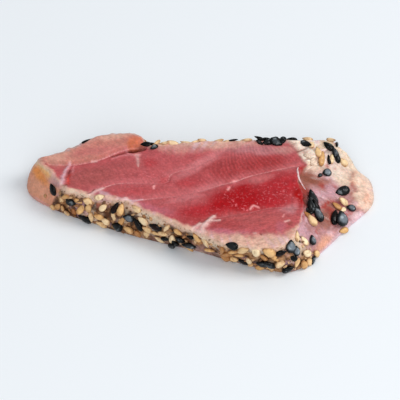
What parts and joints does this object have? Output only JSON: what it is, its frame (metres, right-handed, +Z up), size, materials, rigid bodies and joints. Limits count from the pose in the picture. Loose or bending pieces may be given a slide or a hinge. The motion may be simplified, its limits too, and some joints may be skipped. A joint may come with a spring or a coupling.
{
  "type": "slice of seared tuna steak with sesame crust",
  "caption": "Thin slice of seared tuna steak lying flat, with a raw pink and red cut face, a pale seared edge and a sloping skin end, crusted all round with black and pale sesame seeds.",
  "frame": {"origin": "on the surface that the slice lies on, under the middle of its bounding box", "axes": "+X along the slice's length towards the sloping skin end, +Y across it to the straighter far side, +Z up out of the cut face"},
  "size_m": [0.087, 0.0394, 0.0094],
  "materials": {
    "tuna_flesh": "satin",
    "sesame_black": "satin",
    "sesame_pale": "satin",
    "seared_crumb": "matte"
  },
  "bodies": {
    "root": {"tuna_slice": "tuna_flesh"}
  },
  "joints": []
}
